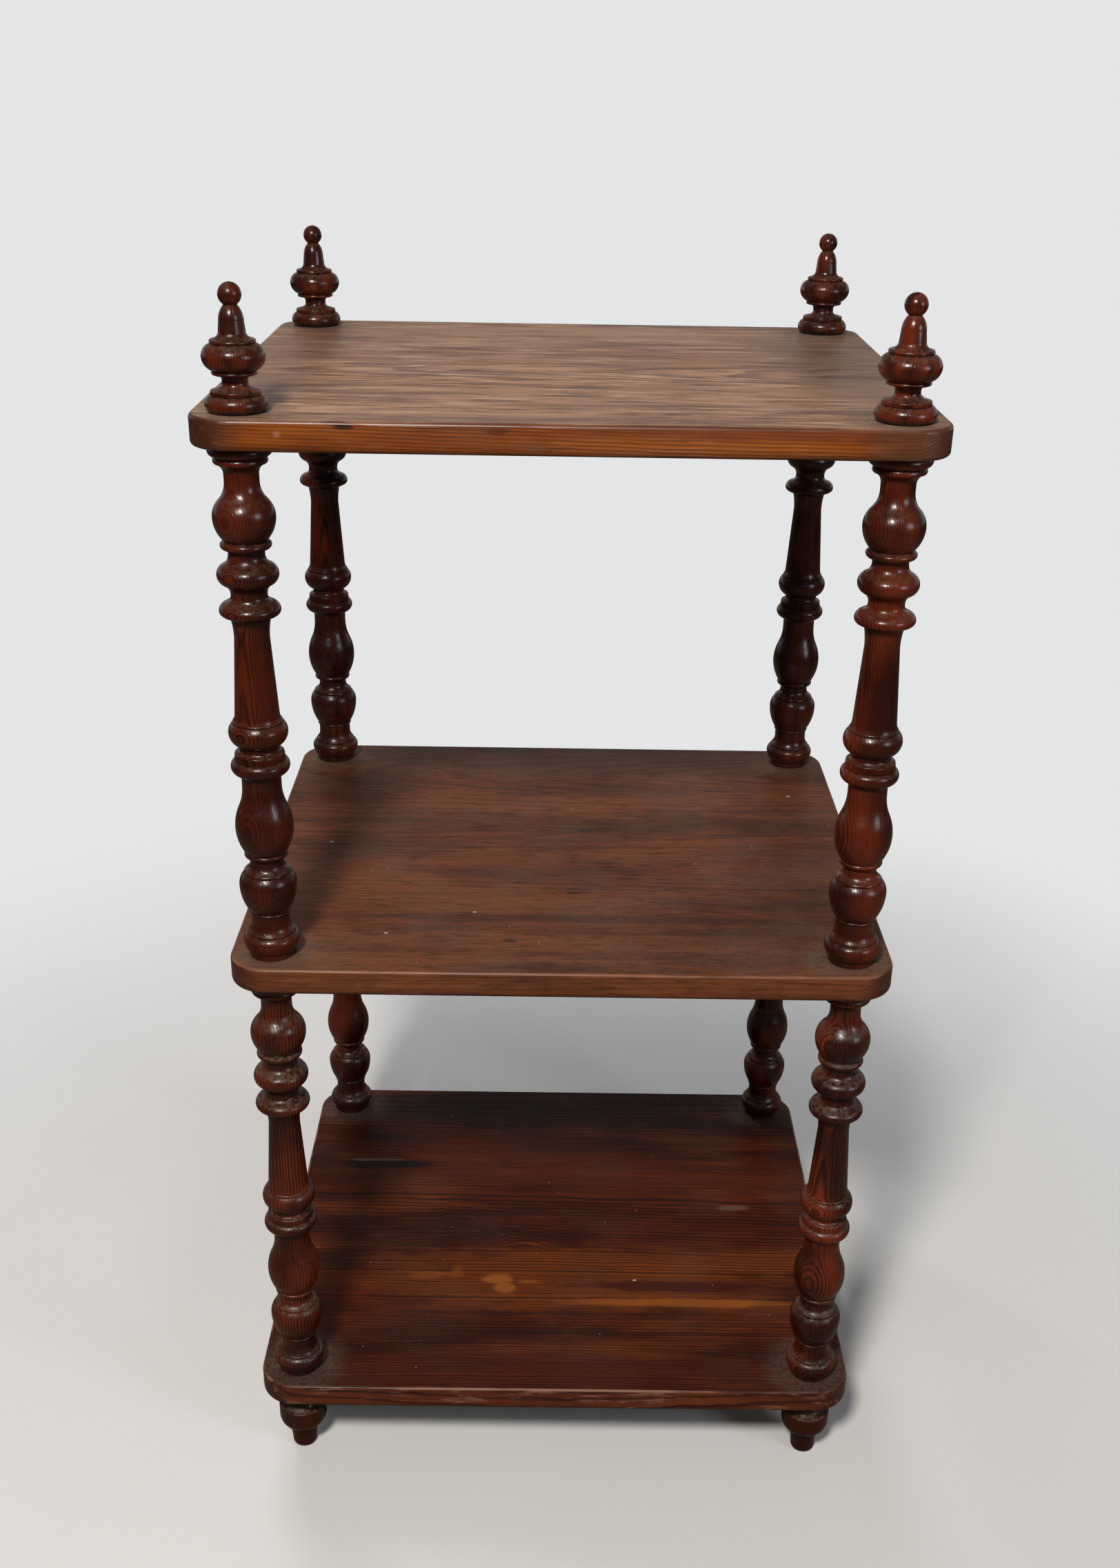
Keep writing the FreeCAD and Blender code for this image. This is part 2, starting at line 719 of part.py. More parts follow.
def make_board(label, side, seam):
    body = new_body(label)
    plan = new_sketch(body, "plan", "XY_Plane")
    draw_plan(plan, side, seam)
    pad = body.newObject("PartDesign::Pad", f"{label}_plank")
    pad.Profile = plan
    pad.setExpression("Length", "Sizes.shelf_thickness")
    doc.recompute()
    fillet = body.newObject("PartDesign::Fillet", f"{label}_arris")
    fillet.Base = (pad, outer_arrises(pad.Shape, seam))
    fillet.setExpression("Radius", "Sizes.shelf_arris_radius")
    doc.recompute()
    holes = new_sketch(body, "hole_circles", "XY_Plane")
    draw_holes(holes, side)
    bore = body.newObject("PartDesign::Pocket", f"{label}_holes")
    bore.Profile = holes
    bore.Type = 1
    bore.Midplane = True
    return body


# ---------------------------------------------------------------- the etagere
FOOT_HEIGHT = total(height for steps in FOOT_STRETCHES.values() for _, height, _ in steps)
LEVEL = "Sizes.shelf_thickness + Sizes.post_length"
SHELF_UNDERSIDES = {
    "bottom": f"{FOOT_HEIGHT}",
    "middle": f"{FOOT_HEIGHT} + {LEVEL}",
    "top": f"{FOOT_HEIGHT} + 2 * ({LEVEL})",
}
CORNERS = {
    "front_left": (-1, -1),
    "front_right": (1, -1),
    "back_left": (-1, 1),
    "back_right": (1, 1),
}

parts = []
for shelf, underside in SHELF_UNDERSIDES.items():
    for board, side in (("front", -1), ("back", 1)):
        body = make_board(f"shelf_{shelf}_board_{board}", side, f"seam_{shelf}")
        place_body(body, "0", "0", underside)
        parts.append(body)

for corner, (x_sign, y_sign) in CORNERS.items():
    across = f"{x_sign} * Sizes.post_spacing_x / 2"
    back = f"{y_sign} * Sizes.post_spacing_y / 2"
    column = [
        (make_foot(f"foot_{corner}"), "0"),
        (make_post(f"post_lower_{corner}", "pin_reach"),
         f"{SHELF_UNDERSIDES['bottom']} + Sizes.shelf_thickness"),
        (make_post(f"post_upper_{corner}", "pin_reach_finial"),
         f"{SHELF_UNDERSIDES['middle']} + Sizes.shelf_thickness"),
        (make_finial(f"finial_{corner}"), f"{SHELF_UNDERSIDES['top']} + Sizes.shelf_thickness"),
    ]
    for body, up in column:
        place_body(body, across, back, up)
        parts.append(body)

doc.recompute()

# ---------------------------------------------------------------- checks and files
for item in doc.Objects:
    if "Invalid" in item.State or "Error" in item.State:
        raise RuntimeError(f"{item.Name} failed: {item.State}")
for body in parts:
    shape = body.Shape
    if shape.isNull() or not shape.isValid() or len(shape.Solids) != 1:
        raise RuntimeError(f"{body.Label} has no single valid solid")
    if body.Tip.TypeId == "PartDesign::Pocket" and not shape.Volume < body.Tip.BaseFeature.Shape.Volume:
        raise RuntimeError(f"{body.Label} isn't bored")

for body in parts:
    body.Shape.exportStep(f"parts/{body.Label}.step")
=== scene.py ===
import bpy
import math
from mathutils import Matrix, Vector
from types import SimpleNamespace


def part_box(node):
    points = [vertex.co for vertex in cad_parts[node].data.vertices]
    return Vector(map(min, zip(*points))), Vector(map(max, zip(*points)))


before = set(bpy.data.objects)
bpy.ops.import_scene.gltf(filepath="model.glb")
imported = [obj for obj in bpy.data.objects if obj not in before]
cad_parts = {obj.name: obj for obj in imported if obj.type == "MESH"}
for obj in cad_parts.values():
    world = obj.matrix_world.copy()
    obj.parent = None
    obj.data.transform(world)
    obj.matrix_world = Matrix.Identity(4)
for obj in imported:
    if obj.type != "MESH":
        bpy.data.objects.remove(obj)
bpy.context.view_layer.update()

# Lengths are in metres, and colours are linear red, green and blue.
MM = 0.001

# ---------------------------------------------------------------- where things are, from the frame
CORNERS = ("front_left", "front_right", "back_left", "back_right")


def column_axis(corner):
    """Where the axis of a column of turned pieces stands, in X and Y."""
    low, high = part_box(f"foot_{corner}")
    return ((low + high) / 2).xy


def shelf_top(shelf):
    """How high the upper surface of a shelf is."""
    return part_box(f"shelf_{shelf}_board_front")[1].z


# ---------------------------------------------------------------- material building blocks
class Tree:
    """The nodes of a material or a world. Nearly every method adds one step and gives back its
    output socket. A mask is a socket that goes from 0 to 1."""

    def __init__(self, owner):
        self.owner = owner
        owner.use_nodes = True
        self.tree = owner.node_tree
        self.tree.nodes.clear()

    def node(self, kind, **settings):
        """A new node. Gives back the node itself."""
        made = self.tree.nodes.new(kind)
        for name, value in settings.items():
            setattr(made, name, value)
        return made

    def put(self, socket, value):
        """Link a socket to an input, or set a number or a colour on it."""
        if isinstance(value, bpy.types.NodeSocket):
            self.tree.links.new(value, socket)
        elif isinstance(value, tuple):
            socket.default_value = (*value, 1.0)
        else:
            socket.default_value = value

    def fill(self, node, **inputs):
        """Put values into a node's inputs by their names. Gives back the node."""
        for name, value in inputs.items():
            self.put(node.inputs[name], value)
        return node

    def step(self, kind, *values, **settings):
        """A node with values in its first inputs."""
        made = self.node(kind, **settings)
        for socket, value in zip(made.inputs, values):
            self.put(socket, value)
        return made.outputs[0]

    def math(self, operation, *values):
        return self.step("ShaderNodeMath", *values, operation=operation)

    def add(self, *terms):
        total = terms[0]
        for term in terms[1:]:
            total = self.math("ADD", total, term)
        return total

    def times(self, *factors):
        product = factors[0]
        for factor in factors[1:]:
            product = self.math("MULTIPLY", product, factor)
        return product

    def either(self, *masks):
        most = masks[0]
        for mask in masks[1:]:
            most = self.math("MAXIMUM", most, mask)
        return most

    def invert(self, mask):
        return self.math("SUBTRACT", 1.0, mask)

    def distance(self, a, b):
        """How far a point is from the origin, from its two coordinates."""
        return self.math("SQRT", self.add(self.times(a, a), self.times(b, b)))

    def swing(self, noise, reach):
        """A noise stretched to run from -reach to reach."""
        return self.math("MULTIPLY_ADD", noise, reach * 2, -reach)

    def ramp(self, value, low, high, at_low=0.0, at_high=1.0):
        """A smooth step from at_low to at_high while value goes from low to high."""
        return self.step("ShaderNodeMapRange", value, low, high, at_low, at_high,
                         interpolation_type="SMOOTHSTEP")

    def mix(self, mask, a, b):
        """Colour a where the mask is 0, and b where it is 1."""
        made = self.node("ShaderNodeMix", data_type="RGBA")
        factor, (first, second) = made.inputs[0], made.inputs[6:8]
        for socket, value in ((factor, mask), (first, a), (second, b)):
            self.put(socket, value)
        return made.outputs[2]

    def tint(self, colour, paint, value, low, high, strength=1.0):
        """Mix paint into colour, up to strength, while value goes from low to high."""
        return self.mix(self.ramp(value, low, high, 0.0, strength), colour, paint)

    def vector(self, x, y, z):
        return self.step("ShaderNodeCombineXYZ", x, y, z)

    def split(self, vector):
        """The three coordinates of a vector."""
        made = self.node("ShaderNodeSeparateXYZ")
        self.put(made.inputs[0], vector)
        return made.outputs

    def noise(self, vector, scale, detail=2.0, roughness=0.5):
        made = self.fill(self.node("ShaderNodeTexNoise"),
                         Vector=vector, Scale=scale, Detail=detail, Roughness=roughness)
        return made.outputs["Fac"]

    def noise_line(self, place, scale):
        """Noise along one number."""
        made = self.fill(self.node("ShaderNodeTexNoise", noise_dimensions="1D"),
                         W=place, Scale=scale, Detail=1.0)
        return made.outputs["Fac"]

    def flecks(self, vector, scale, size):
        """Small round marks strewn at random."""
        made = self.fill(self.node("ShaderNodeTexVoronoi", feature="F1"), Vector=vector, Scale=scale)
        return self.ramp(made.outputs["Distance"], size, size * 0.6)

    def surface(self, colour, roughness, gloss, height=None, bump=0.0):
        """A shader. With a height, about 0 to 1, it gets a relief of bump metres."""
        inputs = {"Base Color": colour, "Roughness": roughness, "Specular IOR Level": gloss}
        if height:
            relief = self.fill(self.node("ShaderNodeBump"), Strength=1.0, Distance=bump, Height=height)
            inputs["Normal"] = relief.outputs[0]
        return self.fill(self.node("ShaderNodeBsdfPrincipled"), **inputs).outputs[0]

    def light(self, colour):
        return self.step("ShaderNodeEmission", colour)

    def mix_surfaces(self, mask, a, b):
        return self.step("ShaderNodeMixShader", mask, a, b)

    def by_camera(self):
        """1 in what the camera sees directly and 0 in what lights the object. A backdrop can so be
        pale and yet throw little light."""
        return self.node("ShaderNodeLightPath").outputs["Is Camera Ray"]

    def finish(self, surface, output="ShaderNodeOutputMaterial"):
        """Show the surface. Gives back the material or world."""
        self.put(self.node(output).inputs[0], surface)
        return self.owner


class Wood(Tree):
    """Pitch pine, sawn from a log: growth rings are cylinders round the pith, and they show on each
    surface as they would if it were cut there. along, side and depth are the surface point's place
    along the grain and across it: X, Y and Z for a board, and Z, X and Y for a turned piece."""

    def __init__(self, name, grain_axis):
        super().__init__(bpy.data.materials.new(name))
        self.place = self.node("ShaderNodeTexCoord").outputs["Object"]
        x, y, z = self.split(self.place)
        self.along, self.side, self.depth = (x, y, z) if grain_axis == "X" else (z, x, y)
        self.normal = self.split(self.node("ShaderNodeNewGeometry").outputs["Normal"])

    def grained(self, stretch, offset):
        """The place, shrunk along the grain, so that a noise there has long marks. offset moves the
        marks, so it serves as a seed."""
        along = self.math("MULTIPLY_ADD", self.along, 1.0 / stretch, offset)
        return self.vector(along, self.side, self.depth)

    def rings(self, pith, spacing, seed, tilt=(0.0, 0.0), wander=0.006, ripple=0.0006,
              late_from=0.30, bumps=()):
        """Growth rings: 1 in the dark late wood, 0 in the early wood. pith is a point of the log's
        axis, across the grain, and tilt how far the axis strays from the grain per metre. wander is
        how far the rings sway over a long way, and ripple over a short one. late_from is the part of
        a ring after which it darkens. bumps are the swellings round hidden knots."""
        slow = self.noise(self.grained(5.0, seed), 9.0, detail=1.5)
        slow_too = self.noise(self.grained(5.0, seed + 3.7), 8.0, detail=1.5)
        quick = self.noise(self.grained(3.5, seed + 8.1), 70.0)
        side = self.add(self.side, -pith[0], self.times(self.along, -tilt[0]), self.swing(slow, wander))
        depth = self.add(self.depth, -pith[1], self.times(self.along, -tilt[1]), self.swing(slow_too, wander))
        radius = self.add(self.distance(side, depth), self.swing(quick, ripple))
        for bump in bumps:
            radius = self.add(radius, self.times(self.patch(bump, seed), bump["strength"]))
        uneven = self.noise_line(radius, 60.0)    # some years grew more than others
        count = self.math("MULTIPLY_ADD", uneven, 2.6, self.times(radius, 1.0 / spacing))
        part = self.math("FRACT", count)
        darkens, ends = self.ramp(part, late_from, 0.84), self.ramp(part, 1.0, 0.92)
        return self.times(darkens, ends)

    def fibres(self, scale, seed):
        return self.noise(self.grained(45.0, seed), scale, roughness=0.6)

    def spot(self, u, v, reach_u, reach_v, ragged, seed, soft=0.55, across=None):
        """A patch round (u, v), where u is along the grain and v along across, which is side unless
        it is given. ragged is how uneven its outline is, and soft how wide its fading rim is."""
        far_u = self.math("MULTIPLY_ADD", self.along, 1.0 / reach_u, -u / reach_u)
        far_v = self.math("MULTIPLY_ADD", across or self.side, 1.0 / reach_v, -v / reach_v)
        far = self.distance(far_u, far_v)
        if ragged:
            edge = self.noise(self.grained(4.0, seed + u * 31 + v * 17), 120.0, detail=3.0)
            far = self.add(far, self.swing(edge, ragged))
        return self.ramp(far, 1.0, 1.0 - soft)

    def patch(self, spot, seed, across=None):
        """Where a mark of a shelf's look lies."""
        return self.spot(spot["x"], spot["y"], spot["rx"], spot["ry"], spot["ragged"], seed, across=across)

    def dab(self, colour, spot, seed, *where, across=None):
        """Paint a mark of a shelf's look onto colour, as far as the masks in where let it."""
        mask = self.times(self.patch(spot, seed, across), *where, spot["strength"])
        return self.mix(mask, colour, spot["colour"])

    def crevice(self, reach):
        """1 in the bottom of grooves and where pieces meet, 0 on open surfaces."""
        shade = self.fill(self.node("ShaderNodeAmbientOcclusion", samples=8), Distance=reach)
        return self.invert(shade.outputs["AO"])


# ---------------------------------------------------------------- the turned pieces
PITH_DISTANCE = 0.085    # from the middle of a piece: each was cut from beside the heart of the tree
PITH_TILT = (0.02, 0.015)
STAIN = (0.110, 0.0155, 0.0042)
STAIN_CLOUD = (0.034, 0.0048, 0.0024)
LATE_WOOD = (0.0085, 0.0020, 0.0016)
FIBRE = (0.011, 0.0025, 0.002)
# Painted shade: the near-black colour of grooves and of the places where pieces meet.
GROOVE_SHADE = (0.006, 0.0022, 0.0018)
LEDGE_DUST = (0.115, 0.074, 0.053)
SCUFF = (0.120, 0.034, 0.014)


def turned_wood(name, axis, seed, pith_angle, spacing, dust, warmth=1.0, figure=(0.40, 0.95),
                wander=0.004, gloss=0.37, mottle=24.0, dark_from=0.36):
    """Dark stained wood whose pith lies off to one side, seen in plan at pith_angle (degrees, 0
    towards +X and 90 towards +Y). spacing and wander are those of the growth rings, and figure is
    how strong the rings are where they are faint and where they are bold. warmth is how bright the
    stain is. mottle is how fine its dark clouds are, and they are fewer with a higher dark_from.
    Dust lies on ledges, in grooves and in the grain, and the grooves are darkened with painted shade."""
    wood = Wood(name, "Z")
    angle = math.radians(pith_angle)
    pith = axis + PITH_DISTANCE * Vector((math.cos(angle), math.sin(angle)))
    late = wood.rings(pith, spacing, seed, PITH_TILT, wander, ripple=0.0004)
    fibres = wood.fibres(900.0, seed)
    clouds = wood.noise(wood.grained(2.5, seed), mottle, detail=3.0)
    boldness = wood.noise(wood.grained(2.0, seed + 4.0), 26.0)
    settled = wood.noise(wood.place, 260.0, detail=4.0, roughness=0.65)
    scuffs = wood.noise(wood.grained(3.0, seed + 5.0), 420.0, detail=3.0, roughness=0.7)
    crevice = wood.crevice(reach=0.007)

    stain = tuple(channel * warmth for channel in STAIN)
    colour = wood.tint(stain, STAIN_CLOUD, clouds, dark_from, dark_from + 0.24)
    colour = wood.mix(wood.times(late, wood.ramp(boldness, 0.38, 0.62, *figure)), colour, LATE_WOOD)
    colour = wood.tint(colour, FIBRE, fibres, 0.45, 0.75, 0.5)
    # Painted shade: grooves and joints between pieces darken towards near-black, by ambient occlusion.
    colour = wood.tint(colour, GROOVE_SHADE, crevice, 0.18, 0.80, 0.85)

    slope = wood.normal[2]
    on_ledges = wood.times(wood.ramp(slope, 0.30, 0.85), wood.ramp(settled, 0.34, 0.66), dust)
    in_grooves = wood.times(wood.ramp(crevice, 0.30, 0.75), wood.ramp(settled, 0.35, 0.65), 0.5 * dust)
    in_grain = wood.times(wood.ramp(fibres, 0.50, 0.66), wood.ramp(slope, -0.2, 0.6), 0.40 * dust)
    film = wood.either(on_ledges, in_grooves, in_grain)
    colour = wood.mix(film, colour, LEDGE_DUST)
    colour = wood.tint(colour, SCUFF, scuffs, 0.62, 0.74, 0.30)

    roughness = wood.add(0.17, wood.times(film, 0.45), wood.times(settled, 0.10), wood.times(late, 0.05))
    height = wood.add(wood.times(late, 0.45), wood.times(fibres, 0.35), wood.times(settled, 0.3))
    return wood.finish(wood.surface(colour, roughness, gloss, height, bump=0.00007))


# ---------------------------------------------------------------- the shelves
BASE_RADII = dict(bottom=0.0173, middle=0.0173, top=0.0191)    # of what stands on each shelf
CONTACT_DUST_WIDTH = 0.004    # of the dust line right against what stands on a shelf
LOOSE_DUST_RADIUS = 0.050
SHADOWED = (0.008, 0.005, 0.004)
FLECK = (0.50, 0.44, 0.38)
EDGE_TO_TOP = (0.55, 0.90)    # how far a normal points up where a board's edge turns into its top
EDGE_SMOOTHER = 0.10          # how much less rough the edges are than the tops
SHADED_LOWER_EDGE = (0.013, 0.021)    # below the surface: where the painted shade on an edge's lower part starts, and its end


def board_grain(wood, look, board, surface_level):
    """The grain of a board, as masks. A shelf's two boards were sawn from different logs, and
    stained together: they share the clouds and the glow."""
    log = look["logs"][board]
    side, depth = log["pith"]
    own, shared = log["seed"], look["seed"]
    streak_place = wood.grained(look["streak_length"], own + 2.0)
    return SimpleNamespace(
        late=wood.rings(**{**log, "pith": (side, surface_level + depth)}, bumps=look["bumps"]),
        fibres=wood.fibres(800.0, own),
        streaks=wood.noise(streak_place, look["streak_scale"], detail=4.0, roughness=0.62),
        bands=wood.noise(wood.grained(16.0, own + 6.0), 55.0, detail=3.0),
        clouds=wood.noise(wood.grained(5.0, shared), 16.0, detail=4.0, roughness=0.6),
        glow=wood.noise(wood.grained(6.0, shared + 12.0), 26.0, detail=3.0),
    )


def bare_wood(wood, grain, look, face):
    """The colour of a board's top or edge, before wear and dust."""
    shades = look[face]
    ring = shades["ring"]
    figure = look["edge_figure"] if face == "edge" else 1.0
    colour = wood.tint(shades["light"], shades["dark"], grain.clouds, 0.36, 0.66)
    colour = wood.tint(colour, ring, grain.bands, 0.50, 0.72, look["bands"] * figure)
    colour = wood.tint(colour, look["glow"], grain.glow, 0.50, 0.68, look["glow_strength"])
    colour = wood.tint(colour, ring, grain.streaks, 0.50, 0.66, look["streaks"] * figure)
    colour = wood.tint(colour, shades["bright"], grain.streaks, 0.46, 0.32, look["bright_streaks"] * figure)
    colour = wood.tint(colour, ring, grain.fibres, 0.42, 0.75, 0.35)
    if face == "top":
        for zone in look["zones"]:
            colour = wood.dab(colour, zone, look["seed"])
    strength = wood.ramp(grain.bands, 0.25, 0.75, *look["ring_strength"])
    return wood.mix(wood.times(grain.late, strength), colour, ring)


def dust_round_columns(wood, shelf, look):
    """Dust round what stands on a shelf, thickest right against it."""
    loose = LOOSE_DUST_RADIUS
    contact = BASE_RADII[shelf] + CONTACT_DUST_WIDTH
    masks = []
    for corner in CORNERS:
        u, v = column_axis(corner)
        around = wood.spot(u, v, loose, loose, ragged=0.25, seed=look["seed"], soft=0.6)
        against = wood.spot(u, v, contact, contact, ragged=0.05, seed=look["seed"], soft=0.15)
        masks += [wood.times(around, look["corner_dust"]), wood.times(against, 0.8)]
    return wood.either(*masks)


def shelf_wood(name, shelf, board, look):
    """One board of a shelf."""
    wood = Wood(name, "X")
    seed = look["seed"]
    surface_level = shelf_top(shelf)
    grain = board_grain(wood, look, board, surface_level)
    slope = wood.normal[2]
    upward = wood.ramp(slope, *EDGE_TO_TOP)

    edge = bare_wood(wood, grain, look, "edge")
    shade_from, shade_to = (surface_level - drop for drop in SHADED_LOWER_EDGE)
    # Painted shade: the lower part of each edge is darkened, as if it were lit only from above.
    edge = wood.tint(edge, look["edge"]["ring"], wood.depth, shade_from, shade_to, 0.6)
    colour = wood.mix(upward, edge, bare_wood(wood, grain, look, "top"))
    smudges = wood.noise(wood.grained(3.2, seed + 15.0), 21.0, detail=5.0, roughness=0.68)
    colour = wood.tint(colour, look["smudge"], smudges, 0.50, 0.70, look["smudges"])
    colour = wood.tint(colour, look["end"], wood.math("ABSOLUTE", wood.normal[0]), 0.05, 0.65, 0.85)

    for spot in look["marks"]:
        colour = wood.dab(colour, spot, seed, upward)
    if board == "front":
        forward = wood.ramp(wood.normal[1], -0.1, -0.4)
        below = wood.math("SUBTRACT", surface_level, wood.depth)
        for spot in look["front_marks"]:
            colour = wood.dab(colour, spot, seed, forward, across=below)

    haze = wood.ramp(wood.noise(wood.place, 14.0, detail=3.0), 0.42, 0.66, 0.0, look["haze"])
    settled = wood.noise(wood.place, 240.0, detail=4.0, roughness=0.65)
    film = wood.either(haze, dust_round_columns(wood, shelf, look))
    film = wood.times(film, upward, wood.ramp(settled, 0.25, 0.60))
    colour = wood.mix(film, colour, look["dust"])
    colour = wood.tint(colour, SHADOWED, wood.crevice(reach=0.010), 0.35, 0.95, 0.8)

    arris = wood.times(wood.ramp(slope, 0.30, 0.62), wood.ramp(slope, 0.99, 0.86))
    rubbed = wood.noise(wood.grained(6.0, seed + 9.0), 60.0, detail=4.0)
    wear = wood.times(arris, wood.ramp(rubbed, *look["rubbed"]))
    colour = wood.mix(wood.times(wear, look["wear_strength"]), colour, look["wear"])
    chipped = wood.noise(wood.grained(8.0, seed + 20.0), 210.0, detail=4.0, roughness=0.65)
    chips = wood.times(wood.ramp(chipped, 0.55, 0.64, 0.0, look["chips"]), wood.ramp(upward, 0.9, 0.3))
    colour = wood.mix(chips, colour, look["chip"])
    flecks = wood.times(wood.flecks(wood.place, scale=45.0, size=0.04), upward, look["flecks"])
    colour = wood.mix(flecks, colour, FLECK)

    level = wood.ramp(slope, *EDGE_TO_TOP, look["roughness"] - EDGE_SMOOTHER, look["roughness"])
    roughness = wood.add(level, wood.times(grain.streaks, 0.14), wood.times(film, 0.25),
                         wood.times(wear, 0.10))
    height = wood.add(wood.times(grain.late, 0.40), wood.times(grain.fibres, 0.50),
                      wood.times(grain.streaks, 0.40))
    return wood.finish(wood.surface(colour, roughness, look["gloss"], height, look["bump"]))


# ---------------------------------------------------------------- what sets the shelves apart
SPECK = (0.55, 0.50, 0.44)
KNOT = (0.020, 0.010, 0.008)


def mark(x, y, rx, ry, colour, strength, ragged=0.35):
    """A patch on a shelf, placed and sized in mm. Among the front_marks, y is how far it is below
    the shelf's surface."""
    return dict(x=x * MM, y=y * MM, rx=rx * MM, ry=ry * MM, colour=colour, strength=strength, ragged=ragged)


def speck(x, y, strength):
    """A pale dot, placed in mm."""
    return mark(x, y, 2.4, 1.4, SPECK, strength)


def knot(x, y, rx, ry):
    """A small dark knot, placed and sized in mm."""
    return mark(x, y, rx, ry, KNOT, 0.7)


def swelling(x, y, rx, ry, rise):
    """A place, in mm, where the growth rings swell round a hidden knot."""
    return mark(x, y, rx, ry, None, rise * MM, ragged=0.0)
